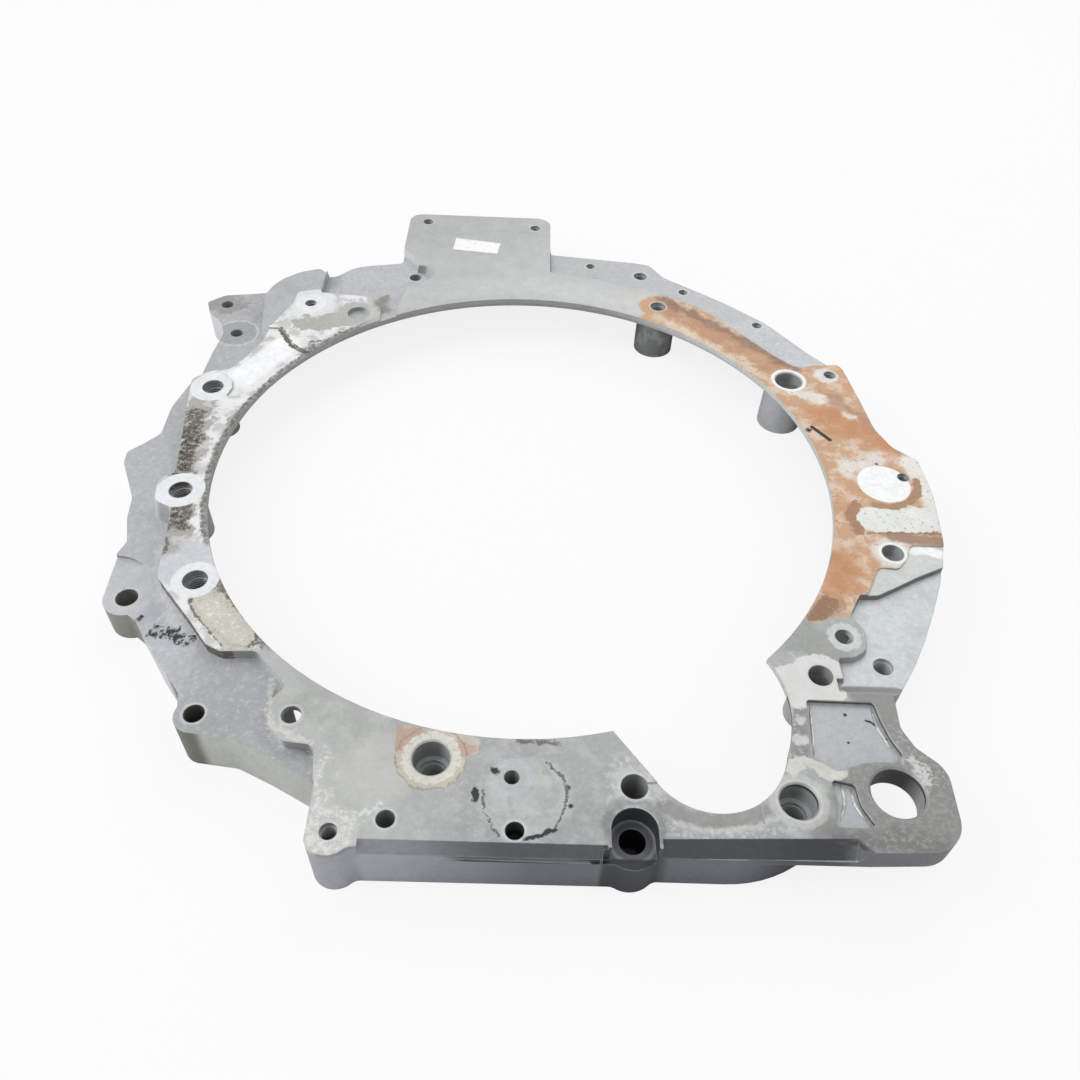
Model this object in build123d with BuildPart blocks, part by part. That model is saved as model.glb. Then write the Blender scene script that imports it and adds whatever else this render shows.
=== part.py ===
from build123d import *

import os

# Cast transmission adapter plate with a flywheel bore and an open starter bay.
# The origin is where the bore axis meets the machined engine face, which looks up.
# The lifting lug and the starter bay are at the front right.

# Driving dimensions
thickness = 35.0  # from the gearbox face to the engine face
web = 8.0  # skin at the bore flange and round the starter bay
edge_web = 3.5  # thin rim of that skin along the bore and the bay
edge_width = 4.0
outer_skin = 21.0  # skin between the bore flange and the outer wall
skirt_wall = 6.5
rib_width = 5.0
rib_start = 212.0
bore_radius = 184.0
flange_centre = (0.0, 8.0)
flange_radius = 205.0  # the thin skin reaches out to here
lug_depth = 14.0  # lifting lug and front rail
rim_chamfer = 0.8  # broken edge of the stepped holes
wall_draft = 12.0  # degrees, on the cast steps

# Depths of the cast and milled areas below the engine face
left_flange_drop = 13.0
lower_flange_drop = 6.5
left_spot_face_drop = 15.0
upper_left_drop = 6.0
upper_right_drop = 4.5
right_pocket_drop = 4.0
lug_pocket_drop = 2.5
lip_drop = 2.0
strip_drop = 1.2
step_drop = 0.8
bay_relief_drop = 0.6
front_spot_face_drop = 12.0

# Lifting lug
eye = (176.3, -206.3)
eye_radius = 12.5
eye_chamfer = 1.2

# Starter bay: the wall under the plate is round, the opening above it is not
bay_centre = (99.0, -172.0)
bay_wall_radius = 64.5

# Corner bosses at the outer wall: x, y, radius
front_left_boss = (-80.0, -232.5, 11.0)
front_boss = (54.0, -228.0, 13.5)
left_boss = (-212.3, -93.3, 13.0)
lower_left_boss = (-154.5, -171.5, 10.2)
corner_bosses = (front_left_boss, front_boss, left_boss, lower_left_boss)

# Holes
dowel_radius = 8.85
dowel_depth = 14.0
dowel_core = 6.8
front_boss_hole = 6.2
front_spot_face_radius = 10.5
left_spot_face = (-226.7, -94.0, 28.5)

engine_face = 0.0
gearbox_face = -thickness
lug_underside = -lug_depth

# Outer wall, anticlockwise from the front left. Each corner is x, y, radius.
skirt_corners = [
    (-90, -239, 10),
    (54, -239, 0),
    (54, -236.3, 0),
    (99, -236.5, 0),
    (140, -190, 0),
    (163, -158, 6),
    (190, -153, 8),
    (203, -134, 60),
    (213.5, -116, 80),
    (223.5, -96, 80),
    (233.5, -74, 60),
    (241, -48, 60),
    (245.5, -8, 90),
    (244, 22, 5),
    (231, 33, 15),
    (223.5, 50, 30),
    (219.5, 85, 60),
    (215.5, 114, 9),
    (196, 137, 60),
    (172, 171, 60),
    (146, 194.5, 60),
    (118, 215.5, 40),
    (102, 227, 12),
    (92, 244, 10),
    (80, 246.5, 20),
    (15, 254, 3),
    (15, 301.5, 11),
    (-97.5, 301.5, 10),
    (-98, 236, 4),
    (-123, 231, 20),
    (-134, 227, 15),
    (-146, 214, 8),
    (-153, 213, 2),
    (-158, 218, 3),
    (-171, 213, 20),
    (-182, 203, 12),
    (-205, 198, 20),
    (-226, 194.5, 8),
    (-236.5, 185, 3),
    (-232, 172, 6),
    (-221, 160, 12),
    (-216, 147, 12),
    (-218.5, 124, 40),
    (-219.5, 98, 12),
    (-225, 88, 12),
    (-230.5, 64, 30),
    (-230, 38, 8),
    (-238, 28, 6),
    (-246, 20, 4),
    (-245, 10, 5),
    (-231, -20, 10),
    (-229, -37, 8),
    (-223.5, -55, 4),
    (-226.3, -64, 3),
    (-225.2, -93, 0),
    (-203, -110, 8),
    (-184, -136.5, 60),
    (-165.5, -159.5, 6),
    (-163, -172, 0),
    (-154.5, -181.7, 0),
    (-136, -184, 12),
    (-118, -192.5, 30),
    (-90, -207.5, 4),
]

# Lug with the neck that joins it to the plate
lug_corners = [
    (66, -236, 0),
    (160, -236, 0),
    (200.5, -234.6, 17),
    (202.3, -194, 14),
    (190, -182.5, 8),
    (185.5, -172, 10),
    (187, -148, 0),
    (150, -140, 0),
    (66, -200, 0),
]

# Areas below the engine face
right_pocket_corners = [
    (184, -88.5, 2),
    (194, -88, 8),
    (205, -82, 20),
    (220, -73.5, 30),
    (260, -54, 0),
    (260, -147, 0),
    (163, -147, 2),
    (164.5, -140, 3),
    (163, -131.5, 2),
    (172, -130.5, 8),
    (179.5, -126, 8),
    (181.5, -114, 8),
    (175.5, -103, 6),
]
right_step_corners = [
    (184, -97, 0),
    (262, -97, 0),
    (262, -50.5, 0),
    (221, -50.5, 5),
    (216.5, -61, 5),
    (210, -69, 4),
    (199, -68, 5),
]
upper_right_corners = [
    (15, 222, 0),
    (50, 214.5, 60),
    (82, 203, 30),
    (97, 198.5, 8),
    (111, 189.5, 20),
    (125, 180, 20),
    (136, 169, 20),
    (156, 143.5, 60),
    (171, 125, 30),
    (185, 112, 9),
    (196, 116, 12),
    (209, 117.5, 0),
    (240, 117.5, 0),
    (210, 270, 0),
    (15, 270, 0),
]
upper_left_corners = [
    (-152, 250, 0),
    (-152, 183.5, 3),
    (-137, 182, 20),
    (-118, 180.5, 14),
    (-104, 184, 10),
    (-92, 201, 8),
    (-77, 203, 6),
    (-71, 214, 6),
    (-78, 224, 6),
    (-97.5, 226, 0),
    (-97.5, 250, 0),
]
valley_corners = [
    (-122, 184, 0),
    (-112, 175.5, 8),
    (-105.5, 166, 8),
    (-105, 140, 0),
    (-92, 140, 0),
    (-95, 166, 20),
    (-90, 202, 0),
    (-110, 202, 0),
]
rear_notch_corners = [
    (-110, 250, 0),
    (-97.5, 247, 1),
    (-91, 239, 3),
    (-84.5, 229.5, 3),
    (-84.5, 222, 0),
    (-110, 222, 0),
]
lip_corners = [
    (-152, 250, 0),
    (-152, 187.5, 0),
    (-157, 186.5, 6),
    (-168, 183, 4),
    (-168.8, 169, 10),
    (-173.5, 156, 10),
    (-180, 137.5, 2),
    (-188, 150, 0),
    (-193, 181, 0),
    (-193, 250, 0),
]
strip_corners = [
    (-180, 138, 0),
    (-172, 138, 4),
    (-164, 126.5, 8),
    (-156, 114, 4),
    (-147, 112, 0),
    (-150, 60, 0),
    (-192, 62, 0),
    (-190, 70, 0),
    (-192, 79, 8),
    (-202, 86, 0),
    (-215, 100, 0),
]
left_flange_corners = [
    (-270, 250, 0),
    (-177.5, 250, 0),
    (-177.5, 208, 0),
    (-183.5, 200.5, 5),
    (-188, 192.5, 8),
    (-191.5, 180, 8),
    (-187, 150, 8),
    (-179.6, 137.5, 4),
    (-182, 122, 12),
    (-188.5, 105, 20),
    (-196, 91.5, 5),
    (-209, 86, 8),
    (-218, 78, 6),
    (-215.5, 60, 20),
    (-205.2, -9.5, 4),
    (-213.5, -17, 7),
    (-211, -34, 7),
    (-199.8, -39.5, 4),
    (-196.5, -62, 40),
    (-193.5, -91, 12),
    (-183, -104, 0),
    (-205, -125, 0),
    (-270, -125, 0),
]
lower_flange_corners = [
    (-200, -60, 0),
    (-196.8, -62, 0),
    (-193.5, -91, 12),
    (-168.5, -120, 30),
    (-157, -134.5, 6),
    (-149, -138.5, 6),
    (-131, -137.5, 6),
    (-120.5, -149, 8),
    (-112, -158, 3),
    (-118.5, -166.5, 6),
    (-117.5, -179, 8),
    (-108.5, -188.5, 8),
    (-93.5, -190, 5),
    (-90, -214, 20),
    (-90, -250, 0),
    (-270, -250, 0),
    (-270, -60, 0),
]
long_pocket_corners = [
    (142.3, -157.2, 2),
    (175.8, -157.6, 2),
    (177, -167, 20),
    (179.5, -178, 20),
    (183.5, -186.5, 2),
    (178, -190.8, 3),
    (163, -191.5, 15),
    (150.5, -197, 6),
    (138.2, -188, 3),
    (141, -175, 20),
]
short_pocket_corners = [
    (146, -200.5, 2),
    (157, -202.8, 2),
    (157.5, -213, 12),
    (162, -222.5, 1.5),
    (159, -224.6, 1.5),
    (143.7, -224.2, 2),
    (147, -213, 12),
]
bay_relief_corners = [
    (60, -205, 0),
    (64.5, -213, 3),
    (67.5, -219.5, 5),
    (76, -225.5, 8),
    (90, -226.5, 40),
    (112, -223.5, 0),
    (112, -200, 0),
]
lowered_areas = [
    (upper_right_corners, upper_right_drop),
    (upper_left_corners, upper_left_drop),
    (rear_notch_corners, upper_left_drop),
    (left_flange_corners, left_flange_drop),
    (right_pocket_corners, right_pocket_drop),
]
shallow_areas = [
    (valley_corners, strip_drop),
    (strip_corners, strip_drop),
    (lip_corners, lip_drop),
    (right_step_corners, step_drop),
    (long_pocket_corners, lug_pocket_drop),
    (short_pocket_corners, lug_pocket_drop),
    (bay_relief_corners, bay_relief_drop),
]

# Bosses under the plate: x, y, radius
under_bosses = [
    (-202.5, 70.6, 10.5),
    (-198.2, -25.0, 12.0),
    (-172.8, -92.5, 12.0),
    (94.0, 181.0, 14.0),
    (176.3, 98.7, 14.4),
    (209.6, -57.0, 12.0),
    (152.4, -142.5, 11.5),
    (54.9, -207.0, 12.0),
    (129.5, -212.0, 14.0),
    (-38.5, -195.0, 14.0),
    (187.4, -133.1, 10.0),
    (-207.0, 148.0, 10.0),
    (-221.5, 183.0, 10.0),
]

# Ribs from the bore flange to the outer wall, by their polar angle
rib_angles = (5, 174, 198, 220, 236, 252, 262, 278, 345)

# Thin eight-sided places of the skin: x, y, radius
thin_places = [(-106.8, -174.2, 9.0), (169.4, -117.6, 9.0)]

# Drilled and tapped holes: entry radius, depth of the entry, drilled depth, places
through = thickness + 1.0
hole_groups = [
    (6.7, 0.0, through, [(-202.5, 70.6), (-198.2, -25.0), (-172.8, -92.5)]),
    (6.3, 0.0, through, [(152.4, -142.5), (54.9, -207.0)]),
    (6.25, step_drop, 9.0, [(209.6, -57.0)]),
    (4.8, 0.0, through, [(-106.8, -174.2), (169.4, -117.6)]),
    (7.5, 0.0, 3.0, [(-121.0, 159.0)]),
    (5.5, 0.0, 24.0, [(94.0, 181.0)]),
    (4.0, 0.0, 18.0, [(-156.4, 169.3), (205.5, 106.0), (-80.0, -232.5), (3.0, 286.0), (-83.0, 290.0)]),
    (4.3, 0.0, 18.0, [(-56.0, -226.0), (1.0, -230.0)]),
    (3.6, 0.0, 18.0, [(-1.0, -204.0), (231.0, 6.0)]),
    (5.2, right_pocket_drop, through, [(187.4, -133.1)]),
    (3.4, upper_right_drop, 14.0, [(46.5, 239.5), (115.5, 208.0), (165.5, 168.0)]),
    (5.0, upper_right_drop, 14.0, [(84.5, 228.0)]),
    (4.5, upper_left_drop, 13.0, [(-86.5, 217.0)]),
    (4.4, left_flange_drop, 14.0, [(-207.0, 148.0), (-221.5, 183.0)]),
    (6.0, left_spot_face_drop, through, [(-212.5, -94.0)]),
    (5.1, lower_flange_drop, through, [(-155.0, -171.0)]),
]
dowel_places = [(-38.5, -195.0), (129.5, -212.0), (176.3, 98.7)]


def rounded_face(corners):
    """Give a flat face from (x, y, corner radius) points, taken in order."""
    points = [(x, y) for x, y, _ in corners]
    radii = [radius for _, _, radius in corners]
    with BuildSketch() as sketch:
        with BuildLine():
            FilletPolyline(*points, radius=radii, close=True)
        make_face()
    return sketch.sketch


# Plan of the whole plate under the lug, with the front bosses blended into the wall
with BuildSketch() as body_plan:
    add(rounded_face(skirt_corners))
    with Locations(bay_centre):
        Circle(bay_wall_radius)
    for x, y, radius in corner_bosses:
        with Locations((x, y)):
            Circle(radius)
    for x, y in ((-71.1, -239.0), (46.2, -239.0), (64.7, -236.3)):
        fillet(body_plan.vertices().sort_by_distance((x, y, 0))[0], radius=6)

# Bore and starter bay, which is open towards the bore
with BuildSketch() as opening_plan:
    Circle(bore_radius)
    with BuildLine():
        bay_side = Line((45.5, -177), (68, -207.8))
        bay_end = ThreePointArc(bay_side @ 1, (93, -219), (119.5, -206.5))
        bay_turn = ThreePointArc(bay_end @ 1, (125.2, -197.5), (129, -187))
        bay_flank = ThreePointArc(bay_turn @ 1, (134.2, -161), (127.5, -134))
        Polyline(bay_flank @ 1, (80, -90), bay_side @ 0)
    make_face()

# Hollow of the underside inside the outer wall, clear of the bosses and the ribs
with BuildSketch() as hollow_plan:
    with BuildLine():
        Polyline(*[(x, y) for x, y, _ in skirt_corners], close=True)
    make_face()
    offset(amount=-skirt_wall, kind=Kind.INTERSECTION)
    with Locations(bay_centre):
        Circle(bay_wall_radius - skirt_wall)
    for x, y, radius in corner_bosses:
        with Locations((x, y)):
            Circle(radius, mode=Mode.SUBTRACT)
    for x, y, radius in under_bosses:
        with Locations((x, y)):
            Circle(radius, mode=Mode.SUBTRACT)
    for angle in rib_angles:
        with Locations(Location((0, 0, 0), (0, 0, angle))):
            with Locations((rib_start, 0)):
                Rectangle(120, rib_width, align=(Align.MIN, Align.CENTER), mode=Mode.SUBTRACT)

# Thin skin round the bore and the starter bay
with BuildSketch() as thin_plan:
    with Locations(flange_centre):
        Circle(flange_radius)
    with Locations(bay_centre):
        Circle(bay_wall_radius - skirt_wall)
    for x, y, radius in thin_places:
        with Locations((x, y)):
            RegularPolygon(radius, 8)
    add(hollow_plan.sketch, mode=Mode.INTERSECT)

# The rim along the openings is thinner still
with BuildSketch() as edge_plan:
    offset(opening_plan.sketch, amount=edge_width)
    for x, y, radius in thin_places:
        with Locations((x, y)):
            RegularPolygon(radius, 8)
    add(hollow_plan.sketch, mode=Mode.INTERSECT)

hollow_storeys = [
    (hollow_plan, 0.0, thickness - outer_skin),
    (thin_plan, thickness - outer_skin, thickness - web),
    (edge_plan, thickness - web, thickness - edge_web),
]

# Cutting shape of the flange that falls from the lower left corner to the left side
with BuildPart() as lower_flange_cut:
    with BuildSketch(Plane.XZ):
        with BuildLine():
            Polyline(
                (-280, engine_face - left_flange_drop),
                (-196, engine_face - left_flange_drop),
                (-164, engine_face - lower_flange_drop),
                (-80, engine_face - lower_flange_drop),
                (-80, engine_face + 5),
                (-280, engine_face + 5),
                close=True,
            )
        make_face()
    extrude(amount=260)
    with BuildSketch(Plane.XY.offset(gearbox_face)):
        add(rounded_face(lower_flange_corners))
    extrude(amount=thickness + 10, mode=Mode.INTERSECT)

with BuildPart() as adapter_plate:
    # Plate and lug, all solid at first
    with BuildSketch(Plane.XY.offset(gearbox_face)):
        add(body_plan.sketch)
    extrude(amount=thickness)
    with BuildSketch(Plane.XY.offset(lug_underside)):
        add(rounded_face(lug_corners))
    extrude(amount=lug_depth)

    # Flywheel bore and starter bay
    with BuildSketch(Plane.XY.offset(gearbox_face)):
        add(opening_plan.sketch)
    extrude(amount=thickness, mode=Mode.SUBTRACT)

    # Hollow underside in storeys, each one cut on top of the one before
    for plan, start, end in hollow_storeys:
        with BuildSketch(Plane.XY.offset(gearbox_face + start)):
            add(plan.sketch)
        extrude(amount=end - start, mode=Mode.SUBTRACT)

    # Cast steps below the engine face
    for corners, drop in lowered_areas:
        with BuildSketch(Plane.XY.offset(engine_face)):
            add(rounded_face(corners))
        extrude(amount=-drop, taper=wall_draft, mode=Mode.SUBTRACT)
    for corners, drop in shallow_areas:
        with BuildSketch(Plane.XY.offset(engine_face)):
            add(rounded_face(corners))
        extrude(amount=-drop, mode=Mode.SUBTRACT)
    add(lower_flange_cut.part, mode=Mode.SUBTRACT)

    # The right pocket rises again towards the lug
    with BuildSketch(Plane.YZ.offset(160)):
        with BuildLine():
            Polyline(
                (-152, engine_face),
                (-146.5, engine_face - right_pocket_drop),
                (-144, engine_face - right_pocket_drop),
                (-144, engine_face),
                close=True,
            )
        make_face()
    extrude(amount=40, mode=Mode.SUBTRACT)

    # Spot faces of the left boss and the front boss
    with BuildSketch(Plane.XY.offset(engine_face)):
        with Locations(left_spot_face[:2]):
            Circle(left_spot_face[2])
    extrude(amount=-left_spot_face_drop, mode=Mode.SUBTRACT)
    with BuildSketch(Plane.XY.offset(engine_face)):
        with Locations(front_boss[:2]):
            Circle(front_spot_face_radius)
            Rectangle(2 * front_spot_face_radius, 30, align=(Align.CENTER, Align.MAX))
        with Locations((front_boss[0], -236.5)):
            Rectangle(28, 20, align=(Align.CENTER, Align.MAX))
    extrude(amount=-front_spot_face_drop, mode=Mode.SUBTRACT)

    # Front wall: a set-back band under the edge and a groove that widens to the right
    with BuildSketch(Plane.YZ.offset(-67)):
        with BuildLine():
            Polyline(
                (-245, engine_face + 1),
                (-235.5, engine_face + 1),
                (-235.5, engine_face),
                (-239.2, engine_face - 7.6),
                (-245, engine_face - 7.6),
                close=True,
            )
        make_face()
    extrude(amount=109, mode=Mode.SUBTRACT)
    with BuildSketch(Plane.XZ.offset(239)):
        with BuildLine():
            Polyline(
                (-30, engine_face - 8.4),
                (39, engine_face - 7.5),
                (39, engine_face - 12),
                (-22, engine_face - 10),
                close=True,
            )
        make_face()
    extrude(amount=-1.5, mode=Mode.SUBTRACT)

    # Front rail: a sloped recess that runs out to the face in a slanted end
    for x, top_y, foot_y in ((66, -232.0, -236.6), (153, -229.4, -235.4)):
        with BuildSketch(Plane.YZ.offset(x)):
            with BuildLine():
                Polyline(
                    (top_y, engine_face),
                    (foot_y, engine_face - 9.5),
                    (-240, engine_face - 9.5),
                    (-240, engine_face),
                    close=True,
                )
            make_face()
    recess_end = adapter_plate.pending_faces[-1]
    loft(mode=Mode.SUBTRACT)
    loft([recess_end, Vertex(163, -240, engine_face)], mode=Mode.SUBTRACT)

    # Eye of the lug
    with Locations((eye[0], eye[1], engine_face)):
        CounterSinkHole(eye_radius, eye_radius + eye_chamfer, depth=through, counter_sink_angle=90)

    # Drilled and tapped holes
    for radius, drop, depth, places in hole_groups:
        with Locations(*[(x, y, engine_face - drop) for x, y in places]):
            Hole(radius, depth=depth)
    with Locations(*[(x, y, engine_face) for x, y in dowel_places]):
        CounterSinkHole(dowel_radius, dowel_radius + rim_chamfer, depth=dowel_depth, counter_sink_angle=90)
        Hole(dowel_core, depth=through)
    with Locations((front_boss[0], front_boss[1], engine_face - front_spot_face_drop)):
        Hole(front_boss_hole, depth=20)

os.makedirs("parts", exist_ok=True)
adapter_plate.part.label = "adapter_plate"
export_step(adapter_plate.part, "parts/adapter_plate.step")
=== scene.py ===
"""The look of the transmission adapter plate.

It gives the casting its worn finish, adds the threads, the rims of the lug's pockets and the blank sticker,
and sets up the studio with the camera of the photograph.
"""
import logging
import math
from dataclasses import dataclass, field, replace
from enum import Enum
from typing import Callable, Sequence

import bmesh
import bpy
from mathutils import Matrix, Vector


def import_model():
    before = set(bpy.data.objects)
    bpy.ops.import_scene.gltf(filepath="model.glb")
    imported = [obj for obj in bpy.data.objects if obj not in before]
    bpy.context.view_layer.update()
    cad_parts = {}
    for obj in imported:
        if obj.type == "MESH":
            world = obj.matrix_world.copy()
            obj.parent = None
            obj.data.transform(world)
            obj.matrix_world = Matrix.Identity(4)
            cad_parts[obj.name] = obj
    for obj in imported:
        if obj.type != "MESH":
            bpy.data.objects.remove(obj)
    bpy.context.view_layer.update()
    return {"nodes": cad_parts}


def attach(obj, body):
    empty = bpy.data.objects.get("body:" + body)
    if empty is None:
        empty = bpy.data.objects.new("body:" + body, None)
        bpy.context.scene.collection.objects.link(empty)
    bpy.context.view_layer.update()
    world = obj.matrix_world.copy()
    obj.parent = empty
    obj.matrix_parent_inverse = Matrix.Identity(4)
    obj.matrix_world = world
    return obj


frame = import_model()

log = logging.getLogger("adapter_plate")

MM = 0.001
NODE = "adapter_plate"
BODY = "root"
FLOOR_Z = -0.035
WIDE = 1000.0  # millimetres, beyond every edge of the casting
SHAKE = 9.0  # millimetres that an uneven edge can wander
BREAK = 1.5  # sum of mask and pattern at the edge of a broken stain
CRISP = 0.13  # half the width of that edge

Point = tuple[float, float]
Colour = tuple[float, float, float]
Node = bpy.types.Node
Socket = bpy.types.NodeSocket
Material = bpy.types.Material


def tone(red: int, green: int, blue: int) -> Colour:
    """Turn a screen colour into the linear one that a shader takes.

    Args:
        red: Red from 0 to 255.
        green: Green from 0 to 255.
        blue: Blue from 0 to 255.

    Returns:
        The colour in linear light.
    """
    def linear(value: float) -> float:
        """Undo the screen's curve for one channel."""
        return value / 12.92 if value <= 0.04045 else ((value + 0.055) / 1.055) ** 2.4

    return linear(red / 255), linear(green / 255), linear(blue / 255)


class Grain(Enum):
    """Sizes of the patterns on the casting, as repeats per millimetre."""

    SPECK = 0.36
    RAGGED = 0.26
    PATCH = 0.085
    CLOUD = 0.03


def operator(operation: str, turned: bool = False) -> Callable[["Wire", "Number"], "Wire"]:
    """Make an operator of Wire that adds one Math node.

    Args:
        operation: Blender's name of the operation.
        turned: Whether the number of the wire comes second.

    Returns:
        The operator.
    """
    def apply(wire: "Wire", other: "Number") -> "Wire":
        """Add the node and give its result."""
        sockets = {0: other, 1: wire} if turned else {0: wire, 1: other}
        return Wire(wire.tree, wire.tree.add("ShaderNodeMath", {"operation": operation}, sockets).outputs[0])

    return apply


class Wire:
    """A number in a node tree. Arithmetic on it adds Math nodes."""

    def __init__(self, tree: "ShaderTree", socket: Socket) -> None:
        """Keep the tree and the socket that the number comes out of."""
        self.tree = tree
        self.socket = socket

    __add__, __radd__ = operator("ADD"), operator("ADD", turned=True)
    __sub__, __rsub__ = operator("SUBTRACT"), operator("SUBTRACT", turned=True)
    __mul__, __rmul__ = operator("MULTIPLY"), operator("MULTIPLY", turned=True)
    # Of two masks, what either of them covers and what both cover
    __or__, __and__ = operator("MAXIMUM"), operator("MINIMUM")

    def held(self) -> "Wire":
        """The number, held between 0 and 1."""
        return (self & 1.0) | 0.0

    def ease(self, start: float, end: float) -> "Wire":
        """Turn the number into a mask with a soft step.

        Args:
            start: Where the mask is 0.
            end: Where it is 1. It may be below start.

        Returns:
            The mask.
        """
        low, high = min(start, end), max(start, end)
        ends = {"To Min": float(start > end), "To Max": float(start < end)}
        sockets = {"Value": self, "From Min": low, "From Max": high, **ends}
        settings = {"interpolation_type": "SMOOTHSTEP", "clamp": False}
        return Wire(self.tree, self.tree.add("ShaderNodeMapRange", settings, sockets).outputs[0])

    def step(self, border: float, soft: float = 0.1) -> "Wire":
        """Turn the number into a mask that is 1 above a border."""
        return self.ease(border - soft, border + soft)


Number = Wire | float


class Paint:
    """A colour in a node tree."""

    def __init__(self, tree: "ShaderTree", socket: Socket) -> None:
        """Keep the tree and the socket that the colour comes out of."""
        self.tree = tree
        self.socket = socket

    def under(self, top: "Paint | Colour", mask: Number) -> "Paint":
        """The colour with another one laid over it where a mask is 1."""
        return self.tree.blend(mask, self, top)


class ShaderTree:
    """A node tree that is filled from code. The same node is never made twice."""

    def __init__(self, tree: bpy.types.NodeTree) -> None:
        """Start with a tree that is emptied first."""
        self.tree = tree
        self.tree.nodes.clear()
        self._made: dict[str, Node] = {}

    def add(self, kind: str, settings: dict, sockets: dict) -> Node:
        """Add a node of any type, or find the one that was made like this before.

        Args:
            kind: Blender's name of the node type.
            settings: Attributes of the node, set first.
            sockets: Values or links of the inputs, by name or number.

        Returns:
            The node.
        """
        plain = {name: getattr(value, "socket", value) for name, value in sockets.items()}
        links = {name: value for name, value in plain.items() if isinstance(value, Socket)}
        named = {name: (value.node.name, value.identifier) for name, value in links.items()}
        key = repr((kind, settings, plain | named))
        if key in self._made:
            return self._made[key]
        made = self._made[key] = self.tree.nodes.new(kind)
        for name, value in settings.items():
            setattr(made, name, value)
        for name, value in plain.items():
            socket = made.inputs[name]
            if name in links:
                self.tree.links.new(value, socket)
            else:
                socket.default_value = (*value, 1.0) if socket.type == "RGBA" else value
        return made

    def vector(self, operation: str, first: object, second: object) -> Node:
        """Add one Vector Math node, whose output 0 is a vector and output 1 a number."""
        return self.add("ShaderNodeVectorMath", {"operation": operation}, {0: first, 1: second})

    def scaled(self, vector: object, scale: Number) -> Socket:
        """A vector or colour times a number."""
        sockets = {0: vector, 1: (0.0, 0.0, 0.0), "Scale": scale}
        return self.add("ShaderNodeVectorMath", {"operation": "SCALE"}, sockets).outputs[0]

    def blend(self, mask: Number, low: "Paint | Colour", high: "Paint | Colour") -> Paint:
        """Mix two colours: the first where the mask is 0, the second where it is 1."""
        return Paint(self, self.add("ShaderNodeMix", {"data_type": "RGBA"}, {0: mask, 6: low, 7: high}).outputs[2])

    def mixed(self, mask: Number, low: Node, high: Node) -> Node:
        """Mix two shaders: the first where the mask is 0, the second where it is 1."""
        return self.add("ShaderNodeMixShader", {}, {0: mask, 1: low.outputs[0], 2: high.outputs[0]})

    def noise(self, place: object, grain: Grain, detail: float = 3.0, rough: float = 0.55) -> Wire:
        """A cloudy pattern around 0.5.

        Args:
            place: The position in millimetres.
            grain: Size of the pattern.
            detail: How many finer layers it has.
            rough: How strong the finer layers are.

        Returns:
            The pattern.
        """
        sockets = {"Vector": place, "Scale": grain.value, "Detail": detail, "Roughness": rough}
        made = self.add("ShaderNodeTexNoise", {"noise_dimensions": "3D"}, sockets)
        return Wire(self, made.outputs[0])


class MaterialTree(ShaderTree):
    """The node tree of one material."""

    def __init__(self, name: str) -> None:
        """Make an empty material with a name."""
        self.material = bpy.data.materials.new(name)
        self.material.use_nodes = True
        super().__init__(self.material.node_tree)

    def finish(self, shader: Node) -> Material:
        """Join the shader to the output and give the material."""
        self.add("ShaderNodeOutputMaterial", {}, {"Surface": shader.outputs[0]})
        return self.material


class GroupTree(ShaderTree):
    """A node group that other trees use as a single node."""

    def __init__(self, name: str, inputs: dict[str, str], outputs: dict[str, str]) -> None:
        """Make the group with its sockets.

        Args:
            name: Name of the group.
            inputs: Names of its inputs and their kinds.
            outputs: Names of its outputs and their kinds.
        """
        super().__init__(bpy.data.node_groups.new(name, "ShaderNodeTree"))
        for way, sockets in (("INPUT", inputs), ("OUTPUT", outputs)):
            for socket, kind in sockets.items():
                self.tree.interface.new_socket(socket, in_out=way, socket_type=f"NodeSocket{kind}")
        self.inlet = self.add("NodeGroupInput", {}, {}).outputs
        self.outlet = self.add("NodeGroupOutput", {}, {}).inputs

    def give(self, name: str, value: "Wire | Paint") -> None:
        """Join a value to an output of the group."""
        self.tree.links.new(value.socket, self.outlet[name])

    @classmethod
    def line_distance(cls) -> "GroupTree":
        """Make the group that gives the distance to a straight piece of a line."""
        vectors = {name: "Vector" for name in ("Place", "Start", "Along", "Share")}
        group = cls("line_distance", vectors, {"Far": "Float"})
        inlet = group.inlet
        away = group.vector("SUBTRACT", inlet["Place"], inlet["Start"]).outputs[0]
        share = Wire(group, group.vector("DOT_PRODUCT", away, inlet["Share"]).outputs[1]).held()
        step = group.scaled(inlet["Along"], share)
        group.give("Far", Wire(group, group.vector("DISTANCE", away, step).outputs[1]))
        return group

    @classmethod
    def stain_layer(cls, broken: bool) -> "GroupTree":
        """Make the group that lays one stain over a colour.

        Args:
            broken: Whether a pattern breaks the stain up.

        Returns:
            The group.
        """
        numbers = {name: "Float" for name in ("Mask", "Density", "Pattern", "Zone", "Share")}
        inputs = {"Base": "Color", "Top": "Color", **numbers}
        outputs = {"Colour": "Color", "Shown": "Float"}
        group = cls("broken_stain" if broken else "even_stain", inputs, outputs)
        mask, density, pattern, zone, share = (Wire(group, group.inlet[name]) for name in numbers)
        if broken:
            mask = (mask * density + pattern).step(BREAK, CRISP)
        shown = (mask & zone) * share
        group.give("Colour", Paint(group, group.inlet["Base"]).under(Paint(group, group.inlet["Top"]), shown))
        group.give("Shown", shown)
        return group


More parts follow.
